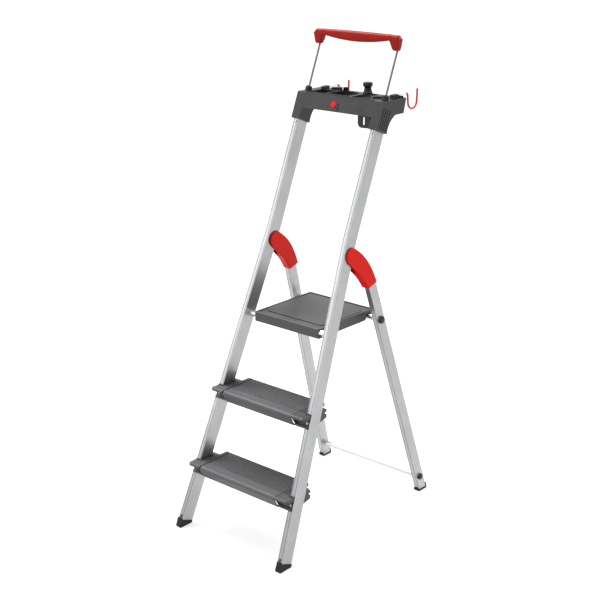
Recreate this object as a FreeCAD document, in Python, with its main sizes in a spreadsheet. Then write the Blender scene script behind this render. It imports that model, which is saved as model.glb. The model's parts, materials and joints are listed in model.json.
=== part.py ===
import FreeCAD, Part
import Sketcher
import math
import os

# A folding three-tread household stepladder: two leaning aluminium stiles with ribbed treads,
# a fold-up platform, a hinged rear frame, a tool tray and a pull-out carrying handle.
# Millimetres. X runs to the ladder's right, Y backwards and Z up from the floor.

os.makedirs("parts", exist_ok=True)
doc = FreeCAD.newDocument("step_stool")
Vec = FreeCAD.Vector

# ---------------------------------------------------------------- driving dimensions
DIMENSIONS = {
    "mid_depth": 358.0,        # from the stiles' front line on the floor to the middle of the footprint
    "lean": 22.0,              # degrees the stiles lean back
    "splay": 3.5,              # degrees the stiles spread below the bend
    "foot_gap_half": 195.3,    # inner face of a stile at the floor, from the middle
    "stile_width": 16.0,
    "stile_depth": 45.0,
    "stile_wall": 1.5,
    "stile_start": 27.5,       # square-cut lower end, measured along the stile
    "stile_end": 1350.0,
    "bend_along": 965.0,
    "bend_radius": 600.0,
    "tread_first": 202.5,      # height of the first tread's top
    "tread_pitch": 219.5,
    "tread_front": 36.0,       # overhang of a tread in front of the stile's face
    "tread_rear": 97.5,
    "tread_drop": 38.0,        # height of a tread's front face
    "cap_width": 33.0,         # plastic between a tread's end and the stile
    "platform_width": 252.0,
    "platform_front": 269.0,
    "platform_rear": 525.0,
    "platform_thick": 29.0,
    "pivot_tube_radius": 9.0,
    "pivot_tube_y": 279.5,
    "pivot_tube_z": 629.0,
    "hinge_along": 918.0,
    "hinge_depth": 34.5,
    "hinge_pin_radius": 4.0,
    "cheek_gap": 1.5,          # room between a hinge cap's cheek and the stile
    "leg_lean": 17.2,          # degrees the rear legs lean
    "leg_splay": 3.25,
    "leg_width": 17.0,
    "leg_depth": 34.0,
    "leg_wall": 1.4,
    "leg_front": 39.4,         # from the hinge to the leg's front face, square to the leg
    "leg_foot_gap_half": 192.1,
    "upper_bar_z": 621.0,
    "upper_bar_radius": 9.5,
    "lower_bar_z": 50.5,
    "lower_bar_radius": 8.0,
    "bar_wall": 1.4,
    "tray_width": 321.0,
    "tray_top": 1268.0,
    "tray_rear": 618.0,
    "tray_height": 44.0,
    "tray_wall": 3.0,
    "socket_end": 1285.0,      # lower end of the tray's sockets, along the stile
    "rod_radius": 3.0,
    "rod_end": 1290.0,         # lower end of the rods inside the stiles
    "rod_top": 1532.0,
    "grip_top": 1448.0,
    "hook_offset": 130.0,
    "wire_radius": 2.0,
    "sleeve_radius": 2.9,
    "run_clearance": 0.05,     # radial clearance of what turns or slides
}

sheet = doc.addObject("Spreadsheet::Sheet", "Dims")
for row, (alias, value) in enumerate(DIMENSIONS.items(), start=1):
    sheet.set("A%d" % row, alias)
    sheet.set("B%d" % row, str(value))
    sheet.setAlias("B%d" % row, alias)
doc.recompute()


def dim(alias):
    """The value of one cell of the sheet."""
    return float(sheet.get(alias))


# ---------------------------------------------------------------- frames and small helpers
LEAN = math.radians(dim("lean"))
LEG_LEAN = math.radians(dim("leg_lean"))
SPLAY = math.tan(math.radians(dim("splay")))
SIDES = (("left", -1), ("right", 1))

bodies = []


def on_stile(along, depth):
    """Y and Z of a point given along the stile and behind its front face."""
    y = along * math.sin(LEAN) + depth * math.cos(LEAN)
    z = along * math.cos(LEAN) - depth * math.sin(LEAN)
    return y, z


def stile_front(z):
    """Y of the stiles' front face at a height."""
    return z * math.tan(LEAN)


def stile_inner(z):
    """Half the gap between the stiles at a height below the bend."""
    return dim("foot_gap_half") - z / math.cos(LEAN) * SPLAY


def upper_inner():
    """Half the gap between the stiles above the bend, where they are parallel."""
    return dim("foot_gap_half") - dim("bend_along") * SPLAY


HINGE_Y, HINGE_Z = on_stile(dim("hinge_along"), dim("hinge_depth"))


def leg_inner(z):
    """Half the gap between the rear legs at a height."""
    return dim("leg_foot_gap_half") - z / math.cos(LEG_LEAN) * math.tan(math.radians(dim("leg_splay")))


def leg_centre_y(z):
    """Y of the rear legs' centre line at a height."""
    offset = dim("leg_front") + dim("leg_depth") / 2
    down = HINGE_Z - z
    return HINGE_Y + offset / math.cos(LEG_LEAN) + down * math.tan(LEG_LEAN)


def new_body(label):
    """A body that stands in the ladder's frame, with the footprint's middle at the origin."""
    body = doc.addObject("PartDesign::Body", label)
    body.Label = label
    body.setExpression("Placement.Base.y", "-Dims.mid_depth")
    bodies.append(body)
    return body


def leaning_body(label):
    """A body whose Z runs up along the stiles and whose Y runs square to them."""
    body = new_body(label)
    body.Placement.Rotation = FreeCAD.Rotation(Vec(1, 0, 0), -dim("lean"))
    body.setExpression("Placement.Rotation.Angle", "Dims.lean")
    body.Placement.Rotation.Axis = Vec(-1, 0, 0)
    return body


def plain_object(label, shape):
    """A sub-part whose shape comes from Part's own functions."""
    thing = doc.addObject("Part::Feature", label)
    thing.Label = label
    thing.Shape = shape if shape.ShapeType == "Compound" else Part.makeCompound([shape])
    thing.setExpression("Placement.Base.y", "-Dims.mid_depth")
    bodies.append(thing)
    return thing


def origin_plane(body, role):
    return next(item for item in body.Origin.OriginFeatures if item.Role == role)


def new_sketch(body, name, role, offset=0.0, turn=None):
    """A sketch on an origin plane, moved along the plane's normal and turned if asked."""
    sketch = body.newObject("Sketcher::SketchObject", name)
    sketch.AttachmentSupport = [(origin_plane(body, role), "")]
    sketch.MapMode = "FlatFace"
    rotation = turn or FreeCAD.Rotation()
    sketch.AttachmentOffset = FreeCAD.Placement(rotation.multVec(Vec(0, 0, offset)), rotation)
    return sketch


def outline(sketch, points):
    """Close a loop through points; ("arc", middle, end) bends the run to that end."""
    ends = [item[2] if item[0] == "arc" else item for item in points]
    last = ends[-1]
    for item in points:
        start = Vec(last[0], last[1], 0)
        if item[0] == "arc":
            middle = Vec(item[1][0], item[1][1], 0)
            stop = Vec(item[2][0], item[2][1], 0)
            sketch.addGeometry(Part.Arc(start, middle, stop), False)
            last = item[2]
        else:
            stop = Vec(item[0], item[1], 0)
            sketch.addGeometry(Part.LineSegment(start, stop), False)
            last = item
    return sketch


def rectangle(sketch, low_x, low_y, high_x, high_y):
    return outline(sketch, [(low_x, low_y), (high_x, low_y), (high_x, high_y), (low_x, high_y)])


def rounded(low_x, low_y, high_x, high_y, radius):
    """The points of a rectangle with round corners, for outline."""
    r = radius
    k = radius * (1 - math.sqrt(0.5))
    return [
        (high_x - r, low_y),
        ("arc", (high_x - k, low_y + k), (high_x, low_y + r)),
        (high_x, high_y - r),
        ("arc", (high_x - k, high_y - k), (high_x - r, high_y)),
        (low_x + r, high_y),
        ("arc", (low_x + k, high_y - k), (low_x, high_y - r)),
        (low_x, low_y + r),
        ("arc", (low_x + k, low_y + k), (low_x + r, low_y)),
    ]


def circle(sketch, x, y, radius_expression):
    """A circle whose radius is bound to the sheet."""
    index = sketch.addGeometry(Part.Circle(Vec(x, y, 0), Vec(0, 0, 1), 5.0), False)
    number = sketch.addConstraint(Sketcher.Constraint("Radius", index, 5.0))
    sketch.setExpression("Constraints[%d]" % number, radius_expression)
    return sketch


def pad(body, sketch, length, both=False, back=False):
    """Pad a sketch by a length, which is a number or an expression on the sheet."""
    feature = body.newObject("PartDesign::Pad", sketch.Name + "_pad")
    feature.Profile = sketch
    feature.Midplane = both
    feature.Reversed = back
    set_length(feature, length)
    return feature


def pocket(body, sketch, length, both=False, back=False):
    """Cut a sketch into the body; the solid has to lose volume."""
    doc.recompute()
    before = body.Shape.Volume
    feature = body.newObject("PartDesign::Pocket", sketch.Name + "_cut")
    feature.Profile = sketch
    feature.Midplane = both
    feature.Reversed = back
    set_length(feature, length)
    doc.recompute()
    if body.Shape.Volume >= before - 0.01:
        raise RuntimeError("%s: %s cuts nothing" % (body.Label, sketch.Name))
    return feature


def set_length(feature, length):
    if isinstance(length, str):
        feature.setExpression("Length", length)
    else:
        feature.Length = length


def cylinder(radius, length, base, direction, bore=0.0):
    """A round bar or, with a bore, a tube."""
    bar = Part.makeCylinder(radius, length, base, direction)
    if bore:
        bar = bar.cut(Part.makeCylinder(bore, length, base, direction))
    return bar


def swept(points, radius):
    """A round wire along straight and curved runs; ("arc", middle, end) bends the run."""
    edges = []
    last = points[0]
    for item in points[1:]:
        if item[0] == "arc":
            edges.append(Part.Arc(last, item[1], item[2]).toShape())
            last = item[2]
        else:
            edges.append(Part.LineSegment(last, item[1]).toShape())
            last = item[1]
    path = Part.Wire(edges)
    first = edges[0]
    direction = first.tangentAt(first.FirstParameter)
    profile = Part.Wire([Part.Circle(first.valueAt(first.FirstParameter), direction, radius).toShape()])
    return path.makePipeShell([profile], True, False)


# ---------------------------------------------------------------- stiles
def stile(name, side):
    """A bent box extrusion with a thin groove beside each corner of its narrow faces."""
    body = leaning_body("stile_" + name)
    start, end, bend = dim("stile_start"), dim("stile_end"), dim("bend_along")
    half, deep, wall = dim("stile_width") / 2, dim("stile_depth"), dim("stile_wall")
    bend_half = dim("bend_radius") * math.tan(math.radians(dim("splay")) / 2)
    low_x = side * (dim("foot_gap_half") + half - start * SPLAY)
    top_x = side * (upper_inner() + half)
    before = (top_x + side * bend_half * SPLAY, bend - bend_half)
    sag = bend_half * math.tan(math.radians(dim("splay")) / 4)
    middle = (top_x + side * sag, bend)

    path = new_sketch(body, "stile_path_" + name, "XZ_Plane")
    path.addGeometry(Part.LineSegment(Vec(low_x, start, 0), Vec(before[0], before[1], 0)), False)
    path.addGeometry(
        Part.Arc(Vec(before[0], before[1], 0), Vec(middle[0], middle[1], 0), Vec(top_x, bend + bend_half, 0)), False)
    path.addGeometry(Part.LineSegment(Vec(top_x, bend + bend_half, 0), Vec(top_x, end, 0)), False)

    bead, slot, cut = 2.2, 1.2, 0.8
    left, right = low_x - half, low_x + half
    section = new_sketch(body, "stile_section_" + name, "XY_Plane", start)
    outline(section, [
        (left, deep), (left, 0),
        (left + bead, 0), (left + bead, cut), (left + bead + slot, cut), (left + bead + slot, 0),
        (right - bead - slot, 0), (right - bead - slot, cut), (right - bead, cut), (right - bead, 0),
        (right, 0), (right, deep),
        (right - bead, deep), (right - bead, deep - cut),
        (right - bead - slot, deep - cut), (right - bead - slot, deep),
        (left + bead + slot, deep), (left + bead + slot, deep - cut),
        (left + bead, deep - cut), (left + bead, deep)])
    inner = wall + cut
    rectangle(section, left + wall, inner, right - wall, deep - inner)
    pipe = body.newObject("PartDesign::AdditivePipe", "stile_pipe_" + name)
    pipe.Profile = section
    pipe.Spine = path
    doc.recompute()

    pin = new_sketch(body, "pin_hole_" + name, "YZ_Plane")
    circle(pin, dim("hinge_depth"), dim("hinge_along"), "Dims.hinge_pin_radius + Dims.run_clearance")
    pocket(body, pin, 600, both=True)
    tube_depth, tube_along = tube_on_stile()
    hole = new_sketch(body, "tube_hole_" + name, "YZ_Plane")
    circle(hole, tube_depth, tube_along, "Dims.pivot_tube_radius + Dims.run_clearance")
    outer = stile_inner(dim("pivot_tube_z")) + dim("stile_width") / 2
    pocket(body, hole, 2 * outer, both=True)
    return body


def tube_on_stile():
    """Depth and along of the platform's pivot tube in the stiles' own frame."""
    y, z = dim("pivot_tube_y"), dim("pivot_tube_z")
    return y * math.cos(LEAN) - z * math.sin(LEAN), y * math.sin(LEAN) + z * math.cos(LEAN)


for name, side in SIDES:
    stile(name, side)


# ---------------------------------------------------------------- front feet
FOOT_HALF = 9.5


def front_foot(name, side):
    """A moulded shoe: a wedge under the stile's cut end, a front lip and a plug inside the stile."""
    body = new_body("front_foot_" + name)
    cut = dim("stile_start") - 0.3
    lip_top = cut + 4.5
    centre = side * (dim("foot_gap_half") + dim("stile_width") / 2 - 0.5)
    shoe = new_sketch(body, "shoe_" + name, "YZ_Plane", centre)
    outline(shoe, [
        (46.0, 0), ("arc", (50.6, 3.2), on_stile(cut, dim("stile_depth"))),
        on_stile(cut, -0.2), on_stile(lip_top, -0.2), on_stile(lip_top, -2.6),
        on_stile(6.0, -2.2), ("arc", (0.9, 2.0), (3.0, 0))])
    pad(body, shoe, 2 * FOOT_HALF, both=True)
    plug_end = dim("stile_start") + 34.0
    inset = dim("stile_wall") + 1.4
    plug = new_sketch(body, "plug_" + name, "YZ_Plane", centre - side * 0.8)
    outline(plug, [
        on_stile(cut - 4, inset), on_stile(cut - 4, dim("stile_depth") - inset),
        on_stile(plug_end, dim("stile_depth") - inset), on_stile(plug_end, inset)])
    pad(body, plug, dim("stile_width") - 2 * dim("stile_wall") - 5.5, both=True)
    grip = new_sketch(body, "sole_grooves_" + name, "YZ_Plane", centre)
    for index in range(5):
        rear = 9.0 + 8.0 * index
        rectangle(grip, rear, -1.0, rear + 2.0, 1.2)
    pocket(body, grip, 2 * FOOT_HALF, both=True)


for name, side in SIDES:
    front_foot(name, side)


# ---------------------------------------------------------------- treads and their end caps
RIB, GROOVE, GROOVE_DEPTH = 5.2, 3.2, 1.5


def groove_edges(front, rear):
    """Rear edge of each groove between the ribs of a tread's top."""
    edges = []
    edge = rear - 7.0
    while edge > front + 42.0:
        edges.append(edge)
        edge -= RIB + GROOVE
    return edges


def tread_outline(front, top):
    """A tread's outer section: ribbed top, round nose, leaning front face and a rear skirt."""
    rear = front + dim("tread_front") + dim("tread_rear")
    foot = front + 17.5
    points = [(rear, top - 27.0), (rear, top - 2.0), ("arc", (rear - 0.6, top - 0.6), (rear - 2.0, top))]
    for edge in groove_edges(front, rear):
        points += [(edge, top), (edge, top - GROOVE_DEPTH), (edge - GROOVE, top - GROOVE_DEPTH),
                   (edge - GROOVE, top)]
    points += [(front + 10.0, top), ("arc", (front + 2.2, top - 3.4), (front + 0.4, top - 10.0)),
               (foot, top - dim("tread_drop"))]
    return points, foot, rear


def tread(name, top):
    """An extruded step, open underneath, with two stiffening webs."""
    body = new_body(name)
    front = stile_front(top) - dim("tread_front")
    points, foot, rear = tread_outline(front, top)
    drop, skin, deck = dim("tread_drop"), 1.8, 3.2
    inside = [(foot + 9.0, top - drop), (foot + 9.0, top - drop + 2.0), (foot + 1.6, top - drop + 2.0),
              (front + 4.0, top - 9.0), (front + 11.0, top - deck)]
    for web in (front + 48.0, front + 92.0):
        inside += [(web, top - deck), (web, top - 18.0), (web + 1.8, top - 18.0), (web + 1.8, top - deck)]
    inside += [(rear - skin, top - deck), (rear - skin, top - 25.2), (rear - 9.0, top - 25.2),
               (rear - 9.0, top - 27.0)]
    section = new_sketch(body, name + "_section", "YZ_Plane")
    outline(section, points + inside)
    half = stile_inner(top) - dim("cap_width")
    pad(body, section, 2 * half, both=True)


def tread_cap(label, side, top):
    """A moulded bracket: a rib at the tread's end and a flange with lips before and behind the stile."""
    body = new_body(label)
    drop, proud, gap = dim("tread_drop"), 0.6, 2.4
    face = stile_front(top)
    front, rear = face - dim("tread_front") - 1.5, face + dim("tread_rear") + 1.0
    bottom = top - drop
    toe = stile_front(bottom) - 3.4
    web = 2.2
    start = stile_inner(top) - dim("cap_width") + gap
    step = start + 12.0
    outer = stile_inner(top) + dim("stile_width") - 1.0
    deep = dim("stile_depth") / math.cos(LEAN)
    back = face + deep + 20.0
    level = top + proud
    nose = [(front + 7.0, level), ("arc", (front + 1.6, top - 1.6), (front, top - 7.0)),
            (front + 3.0, top - 9.0), (stile_front(top - 11.0) - web, top - 11.0),
            (stile_front(bottom + 9.0) - web, bottom + 9.0), (toe + 1.2, bottom + 8.0),
            ("arc", (toe, bottom + 4.0), (toe + 2.6, bottom)), (toe + 37.0, bottom)]
    rib = new_sketch(body, label + "_rib", "YZ_Plane", side * (start + step + 1.0) / 2)
    outline(rib, nose + [
        (rear - 6.0, top - 31.0), ("arc", (rear - 1.2, top - 25.0), (rear, top - 18.0)),
        (rear - 13.0, top - 16.5), (rear - 14.5, top - 14.0), (rear, top - 9.0), (rear, top - 3.0),
        ("arc", (rear - 1.2, top - 0.6), (rear - 4.0, level))])
    pad(body, rib, step + 1.0 - start, both=True)
    flange = new_sketch(body, label + "_flange", "YZ_Plane", side * (step + outer) / 2)
    outline(flange, nose + [
        (back - 5.0, top - 28.0), ("arc", (back - 1.2, top - 26.8), (back, top - 23.0)),
        (back, top - 17.0), (back - 9.0, top - 16.0), (back - 9.0, top - 10.5), (back, top - 9.0),
        (back, top - 3.0), ("arc", (back - 1.2, top - 0.6), (back - 4.0, level))])
    pad(body, flange, outer - step, both=True)
    # the set-back collar that closes the tread's end
    collar = new_sketch(body, label + "_collar", "YZ_Plane", side * (start - gap / 2 + 0.1))
    outline(collar, [(front + 5.5, top - 9.0), (front + 11.0, top - 3.0), (rear - 5.0, top - 3.0),
                     (rear - 5.0, top - 24.0), (toe + 22.0, bottom + 5.0), (toe + 5.0, bottom + 4.0)])
    pad(body, collar, gap, both=True)
    # a raised rim round the stile, then the room that the stile passes through, open outwards
    room = stile_inner(top + 1.0 + dim("stile_depth") * math.sin(LEAN)) - 0.2
    rim = new_sketch(body, label + "_rim", "XY_Plane", level - 0.5)
    rectangle(rim, *sorted_box(side, room - 2.8, outer - 0.5, face - 3.4, face + deep + 3.4))
    pad(body, rim, 2.6)
    slack = 0.25
    shaft = new_sketch(body, label + "_shaft", "YZ_Plane", side * (room + 40.0))
    low, high = bottom - 10.0, top + 10.0
    outline(shaft, [(stile_front(low) - slack, low), (stile_front(low) + deep + slack, low),
                    (stile_front(high) + deep + slack, high), (stile_front(high) - slack, high)])
    pocket(body, shaft, 80.0, both=True)
    # round the flange's outer front corner
    corner = new_sketch(body, label + "_corner", "XY_Plane", level + 3.0)
    round_off = 9.0
    outline(corner, [(side * (outer + 2.0), front - 2.0), (side * (outer - round_off), front - 2.0),
                     (side * (outer - round_off), front),
                     ("arc", (side * (outer - 2.6), front + 2.6), (side * outer, front + round_off)),
                     (side * (outer + 2.0), front + round_off)])
    pocket(body, corner, 14.0)
    # ribs on the top that carry on those of the tread, and the hollow below
    ribs = new_sketch(body, label + "_ribs", "XY_Plane", level)
    for edge in groove_edges(front + 1.5, rear - 1.0):
        reach = room - 3.4 if edge < face + deep + 3.4 else step + 0.5
        rectangle(ribs, *sorted_box(side, start + 1.2, reach, edge - GROOVE, edge))
    pocket(body, ribs, 1.2)
    core = new_sketch(body, label + "_core", "XY_Plane", bottom - 1.0)
    rectangle(core, *sorted_box(side, start + 2.4, step - 1.4, stile_front(top) + 4.0, rear - 16.5))
    pocket(body, core, drop - 2.5, back=True)
    # the eye in the front web, where the rivet's head shows
    eye = new_sketch(body, label + "_eye", "XZ_Plane", -(stile_front(bottom) + 9.0))
    circle(eye, side * rivet_x(top), rivet_z(top), "4.2")
    pocket(body, eye, 30.0, both=True)


def sorted_box(side, low_x, high_x, low_y, high_y):
    """A rectangle given for the right-hand side, turned over for the left."""
    a, b = side * low_x, side * high_x
    return min(a, b), low_y, max(a, b), high_y


def rivet_x(top):
    """Distance of a tread rivet from the middle."""
    return stile_inner(top) + dim("stile_width") / 2


def rivet_z(top):
    return top - 22.0


TREADS = (("lower_tread", dim("tread_first")), ("upper_tread", dim("tread_first") + dim("tread_pitch")))

for name, top in TREADS:
    tread(name, top)
    for side_name, side in SIDES:
        tread_cap("%s_cap_%s" % (name, side_name), side, top)


# ---------------------------------------------------------------- tread rivets and foot pegs
def tread_rivets():
    """Dome-headed rivets that hold the caps' front webs to the stiles."""
    solids = []
    for _, top in TREADS:
        for _, side in SIDES:
            x, z = side * rivet_x(top), rivet_z(top)
            head = Part.makeSphere(6.4, Vec(0, 0, 0), Vec(0, 0, 1), 55, 90, 360)
            head.translate(Vec(0, 0, -6.4 * math.sin(math.radians(55))))
            flange = Part.makeCylinder(3.7, 1.2, Vec(0, 0, -0.6), Vec(0, 0, 1))
            rivet = flange.fuse(head)
            rivet.rotate(Vec(0, 0, 0), Vec(1, 0, 0), 90 - dim("lean"))
            y = stile_front(z) - 0.75
            rivet.translate(Vec(x, y, z))
            solids.append(rivet)
    return Part.makeCompound(solids)


def foot_pegs():
    """The round lock pegs that stand out of the stiles' fronts just above the shoes."""
    solids = []
    for _, side in SIDES:
        along = dim("stile_start") + 10.0
        y, z = on_stile(along, -1.8)
        x = side * (dim("foot_gap_half") + dim("stile_width") / 2 - along * SPLAY)
        inward = Vec(0, math.cos(LEAN), -math.sin(LEAN))
        solids.append(Part.makeCylinder(3.0, 1.75, Vec(x, y, z), inward))
    return Part.makeCompound(solids)


plain_object("tread_rivets", tread_rivets())
plain_object("foot_pegs", foot_pegs())


# ---------------------------------------------------------------- platform pivot tube and hinge pins
tube_reach = stile_inner(dim("pivot_tube_z")) + dim("stile_width") - dim("stile_wall") - 1.6
plain_object("pivot_tube", cylinder(
    dim("pivot_tube_radius"), 2 * tube_reach, Vec(-tube_reach, dim("pivot_tube_y"), dim("pivot_tube_z")),
    Vec(1, 0, 0), bore=dim("pivot_tube_radius") - 1.5))


def stile_faces():
    """Inner and outer face of a stile at the hinge's height."""
    along = dim("hinge_along")
    inner = dim("foot_gap_half") - along * SPLAY
    return inner, inner + dim("stile_width")


CHEEK = 4.5
PIN_BITE = 3.0


def hinge_pins():
    inner, outer = stile_faces()
    reach = dim("cheek_gap") + PIN_BITE
    solids = []
    for _, side in SIDES:
        low = min(side * (inner - reach), side * (outer + reach))
        solids.append(cylinder(dim("hinge_pin_radius"), outer - inner + 2 * reach,
                               Vec(low, HINGE_Y, HINGE_Z), Vec(1, 0, 0)))
    return Part.makeCompound(solids)


def hinge_washers():
    """Thin plastic washers between the stiles and the cheeks of the hinge caps."""
    inner, outer = stile_faces()
    room = 0.75
    thick = 0.6
    solids = []
    for _, side in SIDES:
        for face in (side * (inner - room), side * (outer + room)):
            solids.append(cylinder(7.5, thick, Vec(face - thick / 2, HINGE_Y, HINGE_Z), Vec(1, 0, 0),
                                   bore=dim("hinge_pin_radius") + dim("run_clearance")))
    return Part.makeCompound(solids)


plain_object("hinge_pins", hinge_pins())
plain_object("hinge_washers", hinge_washers())


# ---------------------------------------------------------------- rear legs and hinge caps
def leg_body(label, side):
    """A body in a rear leg's own frame: Z up along the leg, X across it, the hinge at height 0."""
    body = new_body(label)
    centre = leg_inner(HINGE_Z + leg_offset() * math.sin(LEG_LEAN)) + dim("leg_width") / 2
    lean = FreeCAD.Rotation(Vec(1, 0, 0), dim("leg_lean"))
    spread = FreeCAD.Rotation(Vec(0, 1, 0), -side * dim("leg_splay"))
    body.Placement = FreeCAD.Placement(
        Vec(side * centre, HINGE_Y - dim("mid_depth"), HINGE_Z), lean.multiply(spread))
    body.setExpression("Placement.Base.y", "%r - Dims.mid_depth" % HINGE_Y)
    return body


def leg_offset():
    """From the hinge to the leg's centre line, square to the leg."""
    return dim("leg_front") + dim("leg_depth") / 2


def along_leg(z):
    """Drop from the hinge, in the leaning plane of the rear legs, to a height on their centre line."""
    return (z - HINGE_Z - leg_offset() * math.sin(LEG_LEAN)) / math.cos(LEG_LEAN)


LEG_TOP = ((dim("leg_front"), -64.0), (dim("leg_front") + dim("leg_depth"), -114.0))


def rear_leg(name, side):
    """A straight box extrusion, cut level above the shoe and aslant inside the hinge cap."""
    body = leg_body("rear_leg_" + name, side)
    half, front = dim("leg_width") / 2, dim("leg_front")
    back = front + dim("leg_depth")
    bead, slot, cut, wall = 2.0, 1.2, 0.8, dim("leg_wall")
    section = new_sketch(body, "leg_section_" + name, "XY_Plane", -60.0)
    outline(section, [
        (-half, back), (-half, front),
        (-half + bead, front), (-half + bead, front + cut),
        (-half + bead + slot, front + cut), (-half + bead + slot, front),
        (half - bead - slot, front), (half - bead - slot, front + cut),
        (half - bead, front + cut), (half - bead, front),
        (half, front), (half, back)])
    rectangle(section, -half + wall, front + wall + cut, half - wall, back - wall)
    length = -along_leg(0.0) - 40.0
    pad(body, section, length, back=True)
    top = new_sketch(body, "leg_top_" + name, "YZ_Plane")
    outline(top, [LEG_TOP[0], LEG_TOP[1], (LEG_TOP[1][0] + 5, LEG_TOP[1][1]), (back + 5, -50), (front - 5, -50),
                  (front - 5, LEG_TOP[0][1])])
    pocket(body, top, 60, both=True)
    # level cut at the foot, 4.5 mm above the floor
    level = math.tan(LEG_LEAN)
    foot_front = (4.5 - HINGE_Z - front * math.sin(LEG_LEAN)) / math.cos(LEG_LEAN)
    foot = new_sketch(body, "leg_foot_" + name, "YZ_Plane")
    outline(foot, [(front - 10, foot_front + 10 * level), (back + 10, foot_front - (back + 10 - front) * level),
                   (back + 10, foot_front - 90), (front - 10, foot_front - 90)])
    pocket(body, foot, 60, both=True)
    for index, bar in enumerate(("upper_bar", "lower_bar")):
        hole = new_sketch(body, "bar_hole_%s_%d" % (name, index), "YZ_Plane",
                          turn=FreeCAD.Rotation(Vec(1, 0, 0), side * dim("leg_splay")))
        w = along_leg(dim(bar + "_z"))
        circle(hole, leg_offset(), w, "Dims.%s_radius + 0.1" % bar)
        pocket(body, hole, 300, both=True)


def hinge_cap(name, side):
    """A curved moulding: a fork round the stile on the hinge pin, and a socket for the leg's end."""
    body = leg_body("hinge_cap_" + name, side)
    inner, outer = stile_faces()
    centre = abs(body.Placement.Base.x)
    gap = dim("cheek_gap")
    low, high = inner - gap - CHEEK - centre, outer + gap + CHEEK - centre
    skin = new_sketch(body, "cap_outline_" + name, "YZ_Plane", side * (low + high) / 2)
    outline(skin, [
        ("arc", (-13.5, 20.5), (16.5, 23.5)), ("arc", (43.5, -11.0), (64.5, -55.5)),
        ("arc", (72.5, -89.0), (76.5, -123.0)), (35.5, -124.0),
        ("arc", (26.5, -94.0), (12.5, -65.0)), ("arc", (0.5, -43.5), (-17.5, -13.0))])
    pad(body, skin, high - low, both=True)
    doc.recompute()
    round_edges(body, 3.0, lambda edge: abs(abs(edge.CenterOfMass.x - side * (low + high) / 2)
                                            - (high - low) / 2) < 0.01 and edge.CenterOfMass.z > -120)
    fork = new_sketch(body, "cap_fork_" + name, "YZ_Plane", side * (inner - gap + outer + gap - 2 * centre) / 2)
    outline(fork, [(14.0, -80.0), (14.0, -3.0), (38.0, 30.0), (38.0, 60.0), (-45.0, 60.0), (-45.0, -80.0)])
    pocket(body, fork, outer - inner + 2 * gap, both=True)
    half = dim("leg_width") / 2 + 0.15
    socket = new_sketch(body, "cap_socket_" + name, "YZ_Plane")
    front, back = dim("leg_front") - 0.15, dim("leg_front") + dim("leg_depth") + 0.15
    outline(socket, [(front, -140.0), (back, -140.0), (back, LEG_TOP[1][1] + 0.4), (front, LEG_TOP[0][1] + 0.4)])
    pocket(body, socket, 2 * half, both=True)
    eye = new_sketch(body, "cap_eye_" + name, "YZ_Plane", side * ((inner + outer) / 2 - centre),
                     turn=FreeCAD.Rotation(Vec(1, 0, 0), side * dim("leg_splay")))
    circle(eye, 0.0, 0.0, "Dims.hinge_pin_radius + Dims.run_clearance")
    pocket(body, eye, outer - inner + 2 * (gap + PIN_BITE + 0.3), both=True)
    return body


def round_edges(body, radius, wanted):
    """Fillet the edges of a body that the test picks."""
    base = body.Tip
    names = ["Edge%d" % (index + 1) for index, edge in enumerate(base.Shape.Edges) if wanted(edge)]
    fillet = body.newObject("PartDesign::Fillet", body.Label + "_round")
    fillet.Base = (base, names)
    fillet.Radius = radius
    doc.recompute()
    return fillet


for name, side in SIDES:
    rear_leg(name, side)
    hinge_cap(name, side)


# ---------------------------------------------------------------- rear crossbars, their caps and the rear feet
def crossbar(label, bar, proud):
    """A round tube through both rear legs."""
    z, radius = dim(bar + "_z"), dim(bar + "_radius")
    reach = leg_inner(z) + dim("leg_width") + proud
    plain_object(label, cylinder(radius, 2 * reach, Vec(-reach, leg_centre_y(z), z), Vec(1, 0, 0),
                                 bore=radius - dim("bar_wall")))
    return reach


def crossbar_caps(label, bar, reach):
    """A domed plug for each end of a crossbar."""
    z, radius = dim(bar + "_z"), dim(bar + "_radius")
    y = leg_centre_y(z)
    solids = []
    for _, side in SIDES:
        out = Vec(side, 0, 0)
        disc = Part.makeCylinder(radius + 2.0, 3.2, Vec(side * reach, y, z), out)
        dome = Part.makeCone(radius + 2.0, radius - 0.5, 1.8, Vec(side * (reach + 3.2), y, z), out)
        stem = Part.makeCylinder(radius - dim("bar_wall") - 0.1, 14.0, Vec(side * (reach - 14.0), y, z), out)
        solids.append(disc.fuse([dome, stem]).removeSplitter())
    plain_object(label, Part.makeCompound(solids))


crossbar_caps("upper_crossbar_caps", "upper_bar", crossbar("upper_crossbar", "upper_bar", 2.0))
crossbar_caps("lower_crossbar_caps", "lower_bar", crossbar("lower_crossbar", "lower_bar", 2.0))


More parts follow.
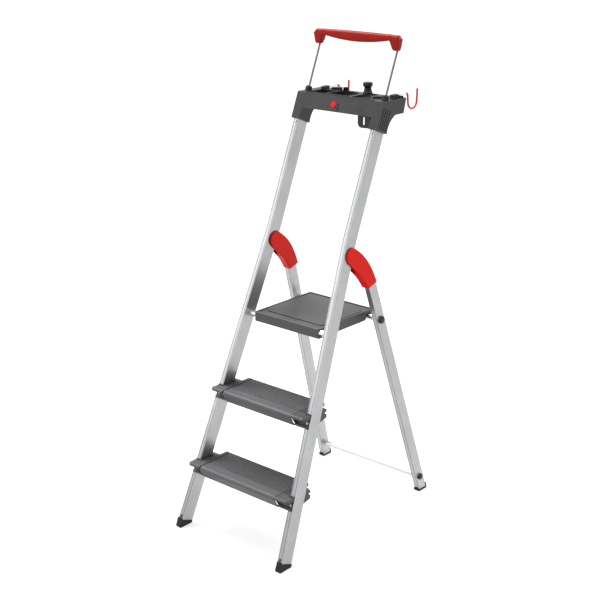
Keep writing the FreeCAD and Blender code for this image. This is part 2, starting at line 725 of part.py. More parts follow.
def rear_foot(name, side):
    """A moulded sole under the leg's end, with a low front lip, a tall rear tab and a plug."""
    body = new_body("rear_foot_" + name)
    run = math.tan(LEG_LEAN)
    deep = dim("leg_depth") / math.cos(LEG_LEAN)
    front = leg_centre_y(4.5) - deep / 2
    back = front + deep
    centre = side * (leg_inner(4.5) + dim("leg_width") / 2)
    sole = new_sketch(body, "sole_" + name, "YZ_Plane", centre)
    outline(sole, [
        (back - 1.5, 0), ("arc", (back + 2.0, 1.9), (back + 3.4, 5.0)),
        (back + 3.0 - 16.0 * run, 20.5), (back + 0.3 - 16.0 * run, 20.5), (back + 0.3, 4.3),
        (front - 0.3, 4.3), (front - 0.3 - 5.0 * run, 9.3), (front - 2.6 - 5.0 * run, 9.3),
        ("arc", (front - 3.9, 3.6), (front - 1.0, 0))])
    pad(body, sole, 20.0, both=True)
    inset = dim("leg_wall") + 1.6
    plug = new_sketch(body, "leg_plug_" + name, "YZ_Plane", centre - side * 0.8)
    outline(plug, [(front + inset, 4.0), (back - inset, 4.0), (back - inset - 26 * run, 30.0),
                   (front + inset - 26 * run, 30.0)])
    pad(body, plug, dim("leg_width") - 2 * dim("leg_wall") - 4.5, both=True)


for name, side in SIDES:
    rear_foot(name, side)


# ---------------------------------------------------------------- platform
def platform():
    """The fold-up platform: a ribbed moulding that clips over the pivot tube along its front edge."""
    body = new_body("platform")
    half, front, rear = dim("platform_width") / 2, dim("platform_front"), dim("platform_rear")
    top = dim("tread_first") + 2 * dim("tread_pitch")
    thick, rim, sunk, skin = dim("platform_thick"), 7.0, 1.8, 3.0
    plan = new_sketch(body, "platform_plan", "XY_Plane", top)
    outline(plan, rounded(-half, front, half, rear, 5.0))
    pad(body, plan, "Dims.platform_thick", back=True)
    doc.recompute()
    round_edges(body, 2.0, lambda edge: abs(edge.CenterOfMass.z - top) < 0.01)
    deck = new_sketch(body, "platform_deck", "XY_Plane", top)
    outline(deck, rounded(-half + rim, front + rim, half - rim, rear - rim, 5.0))
    pocket(body, deck, sunk)
    # raised ribs: nested six-sided rings, cut through the middle by the sides of the deck
    middle = (front + rear) / 2
    for index in range(8):
        wide, deep = 22.0 + 13.0 * index, 13.0 + 13.0 * index
        ring_ribs(body, index, middle, wide, deep, half - rim - 3.0, rear - middle - rim - 3.0, top - sunk, sunk)
    hollow = new_sketch(body, "platform_hollow", "XY_Plane", top - thick)
    outline(hollow, rounded(-half + skin, front + skin, half - skin, rear - skin, 6.0))
    pocket(body, hollow, thick - sunk - 3.0, back=True)
    # ribs under the deck
    for index in range(5):
        x = -80.0 + 40.0 * index
        web = new_sketch(body, "long_web_%d" % index, "XY_Plane", top - sunk - 2.5)
        rectangle(web, x - 1.2, front + 2.0, x + 1.2, rear - 2.0)
        pad(body, web, 19.0, back=True)
    for index in range(4):
        y = front + 50.0 + 51.0 * index
        web = new_sketch(body, "cross_web_%d" % index, "XY_Plane", top - sunk - 2.5)
        rectangle(web, -half + 2.0, y - 1.2, half - 2.0, y + 1.2)
        pad(body, web, 19.0, back=True)
    # bearing blocks on the tube
    for index, x in enumerate((-102.0, -34.0, 34.0, 102.0)):
        block = new_sketch(body, "bearing_%d" % index, "YZ_Plane", x)
        outline(block, [(front + 1.0, top - 3.0), (front + 1.0, top - thick + 3.0),
                        ("arc", (front + 6.0, top - thick), (front + 11.0, top - thick)),
                        (front + 26.0, top - thick + 6.0), (front + 26.0, top - 3.0)])
        pad(body, block, 26.0, both=True)
    bore = new_sketch(body, "tube_bore", "YZ_Plane")
    circle(bore, dim("pivot_tube_y"), dim("pivot_tube_z"), "Dims.pivot_tube_radius + Dims.run_clearance")
    pocket(body, bore, 300, both=True)
    # way in for the rear crossbar, from below and in front
    bar_y, bar_z = leg_centre_y(dim("upper_bar_z")), dim("upper_bar_z")
    around = dim("upper_bar_radius") + 2.6
    notch = new_sketch(body, "crossbar_notch", "YZ_Plane")
    outline(notch, [(bar_y + around, bar_z), ("arc", (bar_y, bar_z + around), (bar_y - around, bar_z)),
                    (bar_y - around - 16.0, bar_z - 30.0), (bar_y + around, bar_z - 30.0)])
    pocket(body, notch, 300, both=True)


def ring_ribs(body, index, middle, wide, deep, limit_x, limit_y, level, height):
    """One six-sided ring of the deck's pattern, as far as it stays on the deck."""
    thick = 6.6
    step = thick * 1.35
    name = "deck_ring_%d" % index
    outer = six_points(middle, wide, deep)
    inner = six_points(middle, wide - step, deep - step)
    ring = new_sketch(body, name, "XY_Plane", level - 0.2)
    edges = Part.Face([Part.makePolygon(outer + outer[:1]), Part.makePolygon(inner + inner[:1])])
    field = Part.makePlane(2 * limit_x, 2 * limit_y, Vec(-limit_x, middle - limit_y, 0))
    kept = edges.common(field)
    for wire in [wire for face in kept.Faces for wire in face.Wires]:
        corners = [vertex.Point for vertex in wire.OrderedVertexes]
        for start, stop in zip(corners, corners[1:] + corners[:1]):
            ring.addGeometry(Part.LineSegment(start, stop), False)
    pad(body, ring, height + 0.2)


def six_points(middle, wide, deep):
    """A six-sided ring round the deck's middle, pointed to the left and the right."""
    nose = deep * 0.55
    return [Vec(-wide - nose, middle, 0), Vec(-wide, middle - deep, 0), Vec(wide, middle - deep, 0),
            Vec(wide + nose, middle, 0), Vec(wide, middle + deep, 0), Vec(-wide, middle + deep, 0)]


def platform_hooks():
    """Two saddles under the platform's rear edge that sit over the rear crossbar."""
    bar_y, bar_z = leg_centre_y(dim("upper_bar_z")), dim("upper_bar_z")
    top = dim("tread_first") + 2 * dim("tread_pitch") - 5.0
    rear = dim("platform_rear") - 3.2
    around = dim("upper_bar_radius") + 0.4
    solids = []
    for _, side in SIDES:
        x = side * 101.0
        points = [Vec(0, bar_y - 11.0, top), Vec(0, rear, top), Vec(0, rear, bar_z - 4.0),
                  Vec(0, bar_y + around, bar_z - 4.0), Vec(0, bar_y, bar_z), Vec(0, bar_y - 11.0, bar_z + 5.5)]
        face = Part.Face(Part.makePolygon(points + points[:1]))
        block = face.extrude(Vec(28.0, 0, 0))
        block.translate(Vec(x - 14.0, 0, 0))
        bar = Part.makeCylinder(around, 60, Vec(x - 30, bar_y, bar_z), Vec(1, 0, 0))
        solids.append(block.cut(bar))
    return Part.makeCompound(solids)


platform()
plain_object("platform_hooks", platform_hooks())


# ---------------------------------------------------------------- tool tray
def tray_side():
    """The tray's side view: a leaning front, sockets down the stiles and a swept-up rear arm."""
    top, height = dim("tray_top"), dim("tray_height")
    front = -4.0
    deep = dim("stile_depth") + 4.0
    low_front = on_stile(dim("socket_end"), front)
    low_rear = on_stile(dim("socket_end"), deep)
    rear = dim("tray_rear")
    return [low_front, low_rear, ("arc", (low_rear[0] + 24.0, low_rear[1] + 41.0), (rear - 12.0, top - 40.0)),
            (rear - 1.5, top - 4.0), ("arc", (rear - 2.0, top - 1.0), (rear - 5.0, top)),
            (stile_front(top) - 4.3, top)]


def tool_tray():
    """One moulding: a shallow compartmented tray with a socket for each stile."""
    body = new_body("tool_tray")
    half, top, height, wall = dim("tray_width") / 2, dim("tray_top"), dim("tray_height"), dim("tray_wall")
    front_top = stile_front(top) - 4.3
    front_low = stile_front(top - height) - 4.3
    rear = dim("tray_rear")
    section = new_sketch(body, "tray_section", "YZ_Plane")
    outline(section, [(front_low, top - height), (rear - 12.0, top - height), (rear - 1.5, top - 4.0),
                      ("arc", (rear - 2.0, top - 1.0), (rear - 5.0, top)), (front_top, top)])
    pad(body, section, "Dims.tray_width", both=True)
    arm = 30.0
    for name, side in SIDES:
        profile = new_sketch(body, "tray_arm_" + name, "YZ_Plane", side * (half - arm / 2))
        outline(profile, tray_side())
        pad(body, profile, arm, both=True)
    doc.recompute()
    # the stepped lip along the front edge, and the collars round the main well and the ring hole
    for index, (low_x, high_x, tall) in enumerate(TRAY_LIPS):
        lip = new_sketch(body, "lip_%d" % index, "XY_Plane", top - 1.0)
        rectangle(lip, low_x, front_top + 0.8, high_x, front_top + 3.6)
        pad(body, lip, tall + 1.0)
    for name, low_x, low_y, high_x, high_y, radius, _ in TRAY_WELLS:
        collar = new_sketch(body, "collar_" + name, "XY_Plane", top - 1.0)
        outline(collar, rounded(low_x - 2.2, low_y - 2.2, high_x + 2.2, high_y + 2.2, radius + 2.2))
        pad(body, collar, 2.4)
    for name, x, y, radius, rim in TRAY_HOLES:
        collar = new_sketch(body, "collar_" + name, "XY_Plane", top - 1.0)
        circle(collar, x, y, "%r" % (radius + rim))
        pad(body, collar, 1.0 + HOLE_COLLAR)
    for index in range(4):
        fin = new_sketch(body, "fin_%d" % index, "XY_Plane", top - 1.0)
        low_y = front_top + 58.6 + 14.0 * index
        rectangle(fin, 139.0, low_y, 155.5, low_y + 1.8)
        pad(body, fin, 6.0)
    ridge = new_sketch(body, "badge_ridge", "YZ_Plane", 3.5)
    outline(ridge, [(stile_front(z) + y, z) for y, z in
                    ((-5.9, top - 20.0), (-3.0, top - 20.0), (-3.0, top - 41.0), (-5.9, top - 41.0))])
    pad(body, ridge, 1.6, both=True)
    # the stiles' room
    centre = upper_inner() + dim("stile_width") / 2
    for name, side in SIDES:
        shaft = new_sketch(body, "stile_room_" + name, "XY_Plane",
                           turn=FreeCAD.Rotation(Vec(1, 0, 0), -dim("lean")))
        shaft.AttachmentOffset = FreeCAD.Placement(
            Vec(0, *on_stile(dim("stile_end") + 1.0, 0)), FreeCAD.Rotation(Vec(1, 0, 0), -dim("lean")))
        rectangle(shaft, side * centre - 8.2, -0.2, side * centre + 8.2, dim("stile_depth") + 0.2)
        pocket(body, shaft, 120.0)
        rod = new_sketch(body, "rod_room_" + name, "XY_Plane")
        rod.AttachmentOffset = FreeCAD.Placement(
            Vec(0, *on_stile(1450.0, 0)), FreeCAD.Rotation(Vec(1, 0, 0), -dim("lean")))
        circle(rod, side * centre, dim("stile_depth") / 2, "7.1")
        pocket(body, rod, 110.0)
    for name, low_x, low_y, high_x, high_y, radius, deep in TRAY_WELLS:
        well = new_sketch(body, "well_" + name, "XY_Plane", top + 5.0)
        outline(well, rounded(low_x, low_y, high_x, high_y, radius))
        pocket(body, well, deep + 5.0)
    for name, x, y, radius, _ in TRAY_HOLES:
        hole = new_sketch(body, "hole_" + name, "XY_Plane", top + 5.0)
        circle(hole, x, y, "%r" % radius)
        pocket(body, hole, height + 25.0)
    for name, low_x, low_y, high_x, high_y in TRAY_CORES:
        core = new_sketch(body, "core_" + name, "XY_Plane", top - height - 60.0)
        rectangle(core, low_x, low_y, high_x, high_y)
        pocket(body, core, height + 56.0, back=True)
    # ribs down the outside of the sockets
    for name, side in SIDES:
        leaning_ribs(body, name, side)
    return body


TRAY_FRONT = stile_front(dim("tray_top")) - 4.3
HOLE_COLLAR = 2.0
# low x, high x, height above the deck
TRAY_LIPS = ((-128.0, -43.0, 2.0), (-41.0, 29.0, 3.6), (31.0, 126.0, 2.6))
# name, low x, low y, high x, high y, corner radius, depth
TRAY_WELLS = (
    ("left", -122.0, TRAY_FRONT + 8.0, -68.0, TRAY_FRONT + 72.0, 8.0, 30.0),
    ("main", -58.0, TRAY_FRONT + 8.0, 12.0, TRAY_FRONT + 84.0, 18.0, 38.0),
    ("middle", 34.0, TRAY_FRONT + 10.0, 66.0, TRAY_FRONT + 62.0, 6.0, 34.0),
    ("slot_b", 52.0, TRAY_FRONT + 76.0, 66.0, TRAY_FRONT + 98.0, 4.0, 60.0),
)
# hollows under the deck: name, low x, low y, high x, high y
TRAY_CORES = (
    ("knob", 17.0, TRAY_FRONT + 5.0, 29.0, TRAY_FRONT + 94.0),
    ("ring", 70.0, TRAY_FRONT + 5.0, 127.0, TRAY_FRONT + 94.0),
    ("right_arm", 134.0, TRAY_FRONT + 60.0, 157.0, TRAY_FRONT + 92.0),
    ("left_arm", -157.0, TRAY_FRONT + 60.0, -134.0, TRAY_FRONT + 92.0),
)
# name, x, y, radius, width of the collar round it
TRAY_HOLES = (
    ("ring", 104.0, TRAY_FRONT + 48.0, 16.0, 2.4),
    ("bit_a", 146.5, TRAY_FRONT + 66.5, 3.5, 1.6),
    ("bit_b", 146.5, TRAY_FRONT + 80.5, 4.0, 1.6),
    ("bit_c", 146.5, TRAY_FRONT + 94.5, 3.0, 1.6),
)


def leaning_ribs(body, name, side):
    """Shallow grooves down the outer face of a socket, beside the stile."""
    half = dim("tray_width") / 2
    grooves = new_sketch(body, "socket_grooves_" + name, "YZ_Plane", side * half)
    for depth in (6.0, 16.0, 26.0, 36.0):
        low, high = dim("socket_end") + 4.0, dim("socket_end") + 66.0
        corners = [on_stile(low, depth), on_stile(low, depth + 3.2), on_stile(high, depth + 3.2),
                   on_stile(high, depth)]
        outline(grooves, corners)
    return pocket(body, grooves, 2.4, both=True)


tool_tray()


# ---------------------------------------------------------------- things on the tray
def tray_badge():
    """A plain round red boss on the tray's front."""
    z = dim("tray_top") - 25.0
    face = Vec(-13.5, stile_front(z) - 4.35, z)
    out = Vec(0, -math.cos(LEAN), math.sin(LEAN))
    disc = Part.makeCylinder(9.5, 1.6, face, out)
    dome = Part.makeCone(9.5, 7.5, 0.8, face + out * 1.6, out)
    return disc.fuse(dome).removeSplitter()


def tray_knob():
    """A stout peg with a waist and a wide head, standing on the tray's deck."""
    base = Vec(34.0, TRAY_FRONT + 90.0, dim("tray_top"))
    points = [(0, 0), (14.5, 0), (14.5, 4), (12.5, 7), (10.5, 15), (10.5, 19), (13.0, 23), (14.5, 24),
              (14.5, 32), (13.0, 34), (0, 34)]
    half = Part.Face(Part.makePolygon([Vec(r, 0, z) for r, z in points] + [Vec(0, 0, 0)]))
    knob = half.revolve(Vec(0, 0, 0), Vec(0, 0, 1), 360)
    knob.translate(base)
    return knob


def tray_holder():
    """A round-cornered bracket hanging under the tray's front edge, open behind, with a keyway in its front."""
    z = dim("tray_top") - dim("tray_height")
    y = stile_front(z) - 1.0
    left, wide, tall, deep = 80.0, 44.0, 35.0, 16.0
    block = Part.makeBox(wide, deep, tall, Vec(left, y, z - tall))
    low = [edge for edge in block.Edges if abs(edge.CenterOfMass.z - (z - tall)) < 0.01
           and abs(edge.tangentAt(edge.FirstParameter).y) > 0.9]
    block = block.makeFillet(13.0, low)
    keyway = Part.makeBox(6.5, deep + 2, 22.0, Vec(left + wide / 2 - 3.2, y - 1, z - 26.0))
    hollow = Part.makeBox(wide - 8.0, deep, tall - 10.0, Vec(left + 4.0, y + 3.0, z - tall + 6.0))
    return block.cut([keyway, hollow]).removeSplitter()


def clip_blocks():
    """A pair of sprung jaws and a round clip that grip tools at the tray's left."""
    top = dim("tray_top")
    solids = []
    for x, wide, tall in ((-106.0, 14.0, 7.0), (-88.0, 18.0, 9.0)):
        block = Part.makeBox(wide, 11.0, tall, Vec(x, TRAY_FRONT + 102.0 - 12.0, top))
        solids.append(block.makeFillet(2.5, [e for e in block.Edges if abs(e.CenterOfMass.z - top - tall) < 0.01]))
    ring = cylinder(9.0, 10.0, Vec(-52.0, TRAY_FRONT + 95.5, top), Vec(0, 0, 1), bore=6.2)
    mouth = Part.makeBox(7.0, 12.0, 12.0, Vec(-55.5, TRAY_FRONT + 83.5, top - 1.0))
    return solids + [ring.cut(mouth)]


def rod_bushes():
    """Flanged bushes that guide the handle's rods where they leave the tray."""
    centre = upper_inner() + dim("stile_width") / 2
    axis = Vec(0, math.sin(LEAN), math.cos(LEAN))
    solids = []
    for _, side in SIDES:
        base = Vec(side * centre, *on_stile(dim("stile_end") + 0.6, dim("stile_depth") / 2))
        body = Part.makeCylinder(7.0, 30.0, base, axis)
        collar = Part.makeCylinder(10.0, 17.0, base + axis * 20.0, axis)
        collar = collar.fuse(Part.makeCone(10.0, 7.5, 3.0, base + axis * 37.0, axis))
        collar = collar.cut(Part.makeBox(80, 80, 60, base + Vec(-40, -40, dim("tray_top") - base.z - 60)))
        bore = Part.makeCylinder(dim("rod_radius") + dim("run_clearance"), 60.0, base - axis * 5, axis)
        solids.append(body.fuse(collar).cut(bore).removeSplitter())
    return solids


def tray_rivets():
    """Small rivets through the stiles' fronts just below the sockets."""
    centre = upper_inner() + dim("stile_width") / 2
    inward = Vec(0, math.cos(LEAN), -math.sin(LEAN))
    solids = []
    for _, side in SIDES:
        base = Vec(side * centre, *on_stile(dim("socket_end") - 9.0, -1.4))
        solids.append(Part.makeCylinder(3.2, 1.35, base, inward))
    return Part.makeCompound(solids)


plain_object("tray_badge", tray_badge())
plain_object("tray_knob", tray_knob())
plain_object("tray_holder", tray_holder())
plain_object("tool_clips", Part.makeCompound(clip_blocks()))
for (name, side), bush in zip(SIDES, rod_bushes()):
    plain_object("rod_bush_" + name, bush)
plain_object("tray_rivets", tray_rivets())


# ---------------------------------------------------------------- bucket hooks
def hook_path(x, short):
    """A hook's centre line in a YZ plane: out of the tray, down, round and up to the tip."""
    top, rear = dim("tray_top") + 4.0, dim("tray_rear")
    out, turn = rear + 40.0, 7.0
    near, far = out + turn + 2.0, out + turn + 46.0
    low = top - 26.0
    middle, radius = (near + far) / 2, (far - near) / 2
    k = turn * (1 - math.sqrt(0.5))
    return [
        Vec(x, rear - 22.0, top), ("line", Vec(x, out, top)),
        ("arc", Vec(x, out + turn - k, top - k), Vec(x, out + turn, top - turn)),
        ("line", Vec(x, near, low)),
        ("arc", Vec(x, middle, low - radius), Vec(x, far, low)),
        ("line", Vec(x, far + 1.5, top + 9.0 - short)),
    ]


def hook_wire(x):
    """The bright wire that is moulded into the tray and runs inside the red sleeve."""
    return swept(hook_path(x, 3.0), dim("wire_radius"))


def hook_sleeve(x):
    """The red plastic sleeve over the hook's curved part, closed at the tip."""
    path = hook_path(x, 0.0)
    start = Vec(x, path[1][1].y - 1.0, path[1][1].z)
    run = [start] + path[1:]
    skin = swept(run, dim("sleeve_radius"))
    core = swept(hook_path(x, 2.6), dim("wire_radius") + 0.05)
    return skin.cut(core)


def hook_sockets():
    """Small clips on the tray's rear corners that the wires are pressed into."""
    top = dim("tray_top")
    solids = []
    for _, side in SIDES:
        block = Part.makeBox(15.0, 24.0, 8.5, Vec(side * dim("hook_offset") - 7.5, dim("tray_rear") - 30.0, top))
        block = block.makeFillet(3.0, [e for e in block.Edges if abs(e.CenterOfMass.z - top - 8.5) < 0.01])
        bore = Part.makeCylinder(dim("wire_radius") + 0.02, 40.0,
                                 Vec(side * dim("hook_offset"), dim("tray_rear") - 22.0, top + 4.0), Vec(0, 1, 0))
        solids.append(block.cut(bore))
    return Part.makeCompound(solids)


for name, side in SIDES:
    plain_object("hook_wire_" + name, hook_wire(side * dim("hook_offset")))
    plain_object("hook_sleeve_" + name, hook_sleeve(side * dim("hook_offset")))
plain_object("hook_sockets", hook_sockets())


# ---------------------------------------------------------------- carrying handle
def handle_rod(name, side):
    """A steel rod that slides inside the stile, with a collar that stops it at the bush."""
    centre = upper_inner() + dim("stile_width") / 2
    axis = Vec(0, math.sin(LEAN), math.cos(LEAN))
    base = Vec(side * centre, *on_stile(dim("rod_end"), dim("stile_depth") / 2))
    rod = Part.makeCylinder(dim("rod_radius"), dim("rod_top") - dim("rod_end"), base, axis)
    collar_top = dim("stile_end") + 0.2
    collar = Part.makeCylinder(4.8, 12.0, base + axis * (collar_top - 12.0 - dim("rod_end")), axis)
    return rod.fuse(collar).removeSplitter()


def grip():
    """The red grip: a bar with a swelling underside, and an end boss for each rod."""
    centre = upper_inner() + dim("stile_width") / 2
    y, z = on_stile(dim("rod_top") - 20.0, dim("stile_depth") / 2)
    top = dim("grip_top")
    half = centre + 15.5
    edges = [
        Part.LineSegment(Vec(-half, 0, top - 12.0), Vec(-half + 7.0, 0, top - 2.0)).toShape(),
        Part.Arc(Vec(-half + 7.0, 0, top - 2.0), Vec(0, 0, top), Vec(half - 7.0, 0, top - 2.0)).toShape(),
        Part.LineSegment(Vec(half - 7.0, 0, top - 2.0), Vec(half, 0, top - 12.0)).toShape(),
        Part.LineSegment(Vec(half, 0, top - 12.0), Vec(centre + 8.0, 0, top - 44.0)).toShape(),
        Part.LineSegment(Vec(centre + 8.0, 0, top - 44.0), Vec(centre - 8.0, 0, top - 44.0)).toShape(),
        Part.LineSegment(Vec(centre - 8.0, 0, top - 44.0), Vec(centre - 11.0, 0, top - 30.0)).toShape(),
        Part.LineSegment(Vec(centre - 11.0, 0, top - 30.0), Vec(centre - 26.0, 0, top - 20.0)).toShape(),
        Part.Arc(Vec(centre - 26.0, 0, top - 20.0), Vec(0, 0, top - 31.0), Vec(26.0 - centre, 0, top - 20.0)).toShape(),
        Part.LineSegment(Vec(26.0 - centre, 0, top - 20.0), Vec(11.0 - centre, 0, top - 30.0)).toShape(),
        Part.LineSegment(Vec(11.0 - centre, 0, top - 30.0), Vec(8.0 - centre, 0, top - 44.0)).toShape(),
        Part.LineSegment(Vec(8.0 - centre, 0, top - 44.0), Vec(-8.0 - centre, 0, top - 44.0)).toShape(),
        Part.LineSegment(Vec(-8.0 - centre, 0, top - 44.0), Vec(-half, 0, top - 12.0)).toShape(),
    ]
    deep = 27.0
    bar = Part.Face(Part.Wire(edges)).extrude(Vec(0, deep, 0))
    bar.translate(Vec(0, y - deep / 2, 0))
    sides = [edge for edge in bar.Edges if abs(edge.CenterOfMass.y - (y - deep / 2)) < 0.01
             or abs(edge.CenterOfMass.y - (y + deep / 2)) < 0.01]
    bar = bar.makeFillet(3.5, sides)
    axis = Vec(0, math.sin(LEAN), math.cos(LEAN))
    for _, side in SIDES:
        base = Vec(side * centre, *on_stile(dim("rod_top") - 200.0, dim("stile_depth") / 2))
        bar = bar.cut(Part.makeCylinder(dim("rod_radius") + 0.02, 200.2, base, axis))
    return bar


for name, side in SIDES:
    plain_object("handle_rod_" + name, handle_rod(name, side))
plain_object("handle_grip", grip())

# ---------------------------------------------------------------- check and export
doc.recompute()
for item in doc.Objects:
    if "Invalid" in item.State or "Error" in item.State:
        raise RuntimeError("%s is not valid" % item.Label)
for piece in bodies:
    if piece.Shape.isNull() or not piece.Shape.isValid() or not piece.Shape.Solids:
        raise RuntimeError("%s has no valid solid" % piece.Label)
    piece.Shape.exportStep("parts/%s.step" % piece.Label)
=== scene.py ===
import json
import math

import bmesh
import bpy
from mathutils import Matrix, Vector


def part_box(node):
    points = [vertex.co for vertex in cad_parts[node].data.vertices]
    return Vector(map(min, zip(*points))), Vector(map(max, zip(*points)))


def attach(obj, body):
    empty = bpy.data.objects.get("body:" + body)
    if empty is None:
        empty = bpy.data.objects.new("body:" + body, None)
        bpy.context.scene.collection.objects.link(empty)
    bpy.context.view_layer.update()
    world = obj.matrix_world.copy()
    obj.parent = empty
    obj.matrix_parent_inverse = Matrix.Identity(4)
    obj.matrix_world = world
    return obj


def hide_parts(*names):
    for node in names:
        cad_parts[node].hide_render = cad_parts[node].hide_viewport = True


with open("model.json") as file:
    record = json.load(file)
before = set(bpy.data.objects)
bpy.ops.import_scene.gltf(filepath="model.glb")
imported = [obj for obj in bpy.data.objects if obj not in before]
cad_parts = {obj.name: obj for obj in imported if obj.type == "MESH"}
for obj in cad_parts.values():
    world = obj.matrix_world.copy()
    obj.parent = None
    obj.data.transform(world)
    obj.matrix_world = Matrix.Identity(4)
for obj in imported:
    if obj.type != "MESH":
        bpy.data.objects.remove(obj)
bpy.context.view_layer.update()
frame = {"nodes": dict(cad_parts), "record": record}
BODY_OF = {node: body for body, nodes in frame["record"]["behaviour"]["bodies"].items() for node in nodes}

# ---------------------------------------------------------------- stiles
# The two front stiles are flat box extrusions in aluminium, drawn through a die with a fine groove
# beside each corner, bent once and left with a satin mill finish that runs along their length.
LEAN = math.radians(22.0)


def new_material(name, colour, roughness, metallic=0.0):
    """A material with its shader's constant values set, and that shader."""
    material = bpy.data.materials.new(name)
    material.use_nodes = True
    shader = material.node_tree.nodes["Principled BSDF"]
    shader.inputs["Base Color"].default_value = (*colour, 1.0)
    shader.inputs["Roughness"].default_value = roughness
    shader.inputs["Metallic"].default_value = metallic
    return material, shader


def place_texture(material, stretch=(1.0, 1.0, 1.0), turn=0.0):
    """Coordinates in the ladder's own frame, stretched and turned about X."""
    nodes, links = material.node_tree.nodes, material.node_tree.links
    where = nodes.new("ShaderNodeTexCoord")
    mapping = nodes.new("ShaderNodeMapping")
    mapping.inputs["Scale"].default_value = stretch
    mapping.inputs["Rotation"].default_value = (turn, 0.0, 0.0)
    links.new(where.outputs["Object"], mapping.inputs["Vector"])
    return mapping


def noise(material, mapping, scale, detail=4.0, rough=0.55):
    """A noise texture in the given coordinates."""
    texture = material.node_tree.nodes.new("ShaderNodeTexNoise")
    texture.inputs["Scale"].default_value = scale
    texture.inputs["Detail"].default_value = detail
    texture.inputs["Roughness"].default_value = rough
    material.node_tree.links.new(mapping.outputs["Vector"], texture.inputs["Vector"])
    return texture


def spread(material, texture, low, high, from_low=0.3, from_high=0.7):
    """The texture's value spread between two limits."""
    ranged = material.node_tree.nodes.new("ShaderNodeMapRange")
    ranged.inputs["From Min"].default_value = from_low
    ranged.inputs["From Max"].default_value = from_high
    ranged.inputs["To Min"].default_value = low
    ranged.inputs["To Max"].default_value = high
    material.node_tree.links.new(texture.outputs["Fac"], ranged.inputs["Value"])
    return ranged


def tint(material, shader, texture, dark, light):
    """The base colour wanders between two shades with the texture."""
    ramp = material.node_tree.nodes.new("ShaderNodeValToRGB")
    ramp.color_ramp.elements[0].position = 0.3
    ramp.color_ramp.elements[0].color = (*dark, 1.0)
    ramp.color_ramp.elements[1].position = 0.7
    ramp.color_ramp.elements[1].color = (*light, 1.0)
    material.node_tree.links.new(texture.outputs["Fac"], ramp.inputs["Fac"])
    material.node_tree.links.new(ramp.outputs["Color"], shader.inputs["Base Color"])


def relief(material, shader, texture, strength, distance):
    """Fine bumps from the texture."""
    bump = material.node_tree.nodes.new("ShaderNodeBump")
    bump.inputs["Strength"].default_value = strength
    bump.inputs["Distance"].default_value = distance
    material.node_tree.links.new(texture.outputs["Fac"], bump.inputs["Height"])
    material.node_tree.links.new(bump.outputs["Normal"], shader.inputs["Normal"])


def paint_shade_in_recesses(material, shader, reach, low):
    """Painted shade: grooves and corners get a darker base colour where little open space is near, standing
    in for the shade that falls there.
    """
    nodes, links = material.node_tree.nodes, material.node_tree.links
    colour = shader.inputs["Base Color"].links[0].from_socket
    space = nodes.new("ShaderNodeAmbientOcclusion")
    space.samples = 8
    space.inputs["Distance"].default_value = reach
    ranged = nodes.new("ShaderNodeMapRange")
    ranged.inputs["From Min"].default_value = 0.35
    ranged.inputs["From Max"].default_value = 0.9
    ranged.inputs["To Min"].default_value = low
    ranged.inputs["To Max"].default_value = 1.0
    scaled = nodes.new("ShaderNodeVectorMath")
    scaled.operation = "SCALE"
    links.new(space.outputs["AO"], ranged.inputs["Value"])
    links.new(colour, scaled.inputs[0])
    links.new(ranged.outputs["Result"], scaled.inputs["Scale"])
    links.new(scaled.outputs["Vector"], shader.inputs["Base Color"])


def drawn_aluminium(name, turn):
    """Satin aluminium with draw lines along the section and faint handling marks."""
    material, shader = new_material(name, (0.40, 0.405, 0.41), 0.36, metallic=1.0)
    along = place_texture(material, (1.0, 1.0, 0.012), turn)
    lines = noise(material, along, 900.0, detail=6.0)
    relief(material, shader, lines, 0.12, 0.0004)
    ranged = spread(material, lines, 0.30, 0.44)
    material.node_tree.links.new(ranged.outputs["Result"], shader.inputs["Roughness"])
    marks = noise(material, place_texture(material), 7.0, detail=8.0, rough=0.7)
    tint(material, shader, marks, (0.365, 0.369, 0.375), (0.45, 0.455, 0.46))
    # painted shade: the base colour darkens in the grooves and corners
    paint_shade_in_recesses(material, shader, 0.003, 0.15)
    return material


WELD = 0.000005       # joins the corners that the node's faces share
FLAT_ANGLE = 0.6      # degrees; faces flatter than this to each other become one
SHARP_ANGLE = 32.0    # degrees; edges sharper than this are rounded


def softened(node, material, width):
    """The node again as one clean mesh, with its sharp edges rounded as a mould or tumbler leaves them."""
    mesh = frame["nodes"][node].data.copy()
    mesh.name = node + "_piece"
    piece = bpy.data.objects.new(node + "_piece", mesh)
    bpy.context.collection.objects.link(piece)
    shape = bmesh.new()
    shape.from_mesh(mesh)
    bmesh.ops.remove_doubles(shape, verts=shape.verts, dist=WELD)
    bmesh.ops.dissolve_limit(
        shape, angle_limit=math.radians(FLAT_ANGLE), verts=shape.verts, edges=shape.edges)
    shape.to_mesh(mesh)
    shape.free()
    if "custom_normal" in mesh.attributes:
        mesh.attributes.remove(mesh.attributes["custom_normal"])
    mesh.materials.clear()
    mesh.materials.append(material)
    mesh.shade_smooth()
    mesh.set_sharp_from_angle(angle=math.radians(SHARP_ANGLE))
    bevel = piece.modifiers.new("edge", "BEVEL")
    bevel.width = width
    bevel.segments = 2
    bevel.limit_method = "ANGLE"
    bevel.angle_limit = math.radians(SHARP_ANGLE)
    even = piece.modifiers.new("even", "WEIGHTED_NORMAL")
    even.keep_sharp = True
    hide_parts(node)
    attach(piece, BODY_OF[node])
    return piece


stile_metal = drawn_aluminium("stile_aluminium", -LEAN)
for side in ("left", "right"):
    softened("stile_" + side, stile_metal, 0.0005)

# ---------------------------------------------------------------- treads
# Each tread is an open aluminium extrusion, powder coated dark grey. Its top is ribbed along its
# length for grip, and its round nose and leaning front are smooth. Shoes have rubbed the coat a little.


